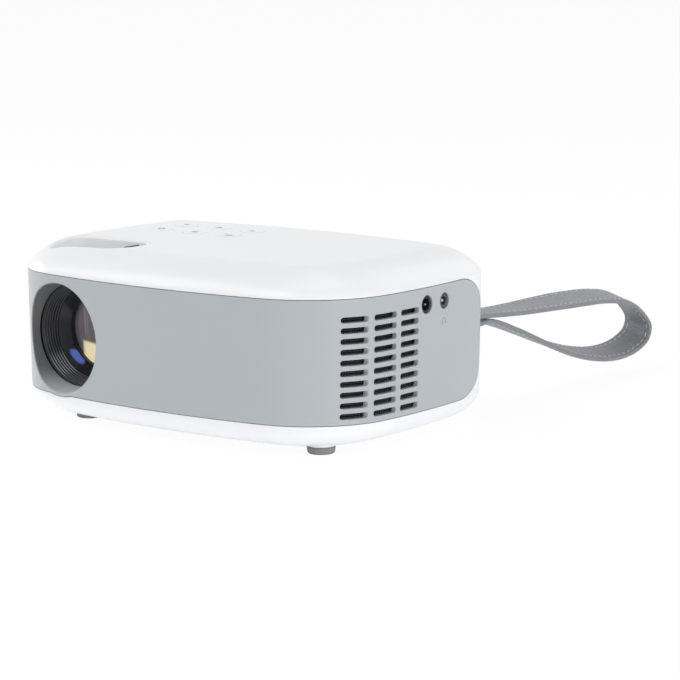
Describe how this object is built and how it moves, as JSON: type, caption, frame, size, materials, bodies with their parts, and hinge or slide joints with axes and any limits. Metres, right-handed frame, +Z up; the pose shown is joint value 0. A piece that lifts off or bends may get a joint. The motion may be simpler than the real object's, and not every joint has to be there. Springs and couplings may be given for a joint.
{
  "type": "video projector",
  "caption": "Compact video projector with a recessed focusing lens, side vents, top keys, side and rear sockets, a fan-cooled lamp inside and a swinging carry strap.",
  "frame": {"origin": "middle of the flat underside, between the feet", "axes": "+Z up, the lens looks along -Y, +X to the right of someone facing the lens"},
  "size_m": [0.2, 0.2909, 0.0825],
  "materials": {
    "white_shell": "satin moulded",
    "grey_band": "satin moulded",
    "black_plastic": "fine moulded",
    "dark_plastic": "satin moulded",
    "mesh": "woven screen",
    "glass": "coated and polished",
    "clear_plastic": "clear sheet",
    "mirror": "front-silvered",
    "board": "solder resist",
    "steel": "plated",
    "aluminium": "extruded",
    "brass": "turned",
    "foot_rubber": "matt moulded",
    "strap": "grained, stitched"
  },
  "bodies": {
    "case": {"top_cover": "white_shell", "bottom_cover": "white_shell", "side_band": "grey_band", "vent_mesh": "mesh", "intake_mesh": "mesh", "lens_sleeve": "black_plastic", "optics_housing": "black_plastic", "optics_lid": "black_plastic", "front_fresnel": "clear_plastic", "display_panel": "dark_plastic", "rear_fresnel": "clear_plastic", "fold_mirror": "mirror", "condenser_holder": "black_plastic", "condenser_lens": "glass", "lamp_board": "aluminium", "heat_sink": "aluminium", "fan_frame": "black_plastic", "main_board": "board", "power_jack": "black_plastic", "sound_jack": "dark_plastic", "hdmi_socket": "steel", "usb_socket": "steel", "sensor_window": "black_plastic", "speaker": "black_plastic", "key_board": "board", "front_left_foot": "foot_rubber", "front_right_foot": "foot_rubber", "rear_left_foot": "foot_rubber", "rear_right_foot": "foot_rubber", "rear_left_screw": "steel", "front_middle_screw": "steel", "front_right_screw": "steel", "rear_right_screw": "steel", "tripod_nut": "brass", "strap_pin": "steel"},
    "focus_ring": {"focus_ring": "dark_plastic"},
    "lens_barrel": {"lens_barrel": "black_plastic", "lens_retainer": "black_plastic", "front_lens": "glass", "middle_lens": "glass", "rear_lens": "glass"},
    "fan_rotor": {"fan_rotor": "black_plastic"},
    "carry_strap": {"carry_strap": "strap"},
    "power_key": {"power_key": "white_shell"},
    "menu_key": {"menu_key": "white_shell"},
    "play_key": {"play_key": "white_shell"},
    "left_key": {"left_key": "white_shell"},
    "back_key": {"back_key": "white_shell"},
    "right_key": {"right_key": "white_shell"}
  },
  "joints": [
    {"name": "focus_turn", "type": "hinge", "parent": "case", "child": "focus_ring", "pos_m": [-0.0555, 0, 0.037], "axis": [0, 1, 0], "range_deg": [-45, 5]},
    {"name": "barrel_slide", "type": "slide", "parent": "case", "child": "lens_barrel", "axis": [0, 1, 0], "range_m": [-0.00094, 0.0001]},
    {"name": "fan_spin", "type": "hinge", "parent": "case", "child": "fan_rotor", "pos_m": [0.073, -0.028, 0.037], "axis": [1, 0, 0], "continuous": true},
    {"name": "strap_swing", "type": "hinge", "parent": "case", "child": "carry_strap", "pos_m": [0.075, 0.0545, 0.0404], "axis": [1, 0, 0], "range_deg": [-30, 30]},
    {"name": "power_press", "type": "slide", "parent": "case", "child": "power_key", "axis": [0, 0, -1], "range_m": [0, 0.0008], "stiffness_N_per_m": 900},
    {"name": "menu_press", "type": "slide", "parent": "case", "child": "menu_key", "axis": [0, 0, -1], "range_m": [0, 0.0008], "stiffness_N_per_m": 900},
    {"name": "play_press", "type": "slide", "parent": "case", "child": "play_key", "axis": [0, 0, -1], "range_m": [0, 0.0008], "stiffness_N_per_m": 900},
    {"name": "left_press", "type": "slide", "parent": "case", "child": "left_key", "axis": [0, 0, -1], "range_m": [0, 0.0008], "stiffness_N_per_m": 900},
    {"name": "back_press", "type": "slide", "parent": "case", "child": "back_key", "axis": [0, 0, -1], "range_m": [0, 0.0008], "stiffness_N_per_m": 900},
    {"name": "right_press", "type": "slide", "parent": "case", "child": "right_key", "axis": [0, 0, -1], "range_m": [0, 0.0008], "stiffness_N_per_m": 900}
  ],
  "couplings": [
    {"joint": "focus_turn", "follows": "barrel_slide", "rad_per_m": 835}
  ]
}
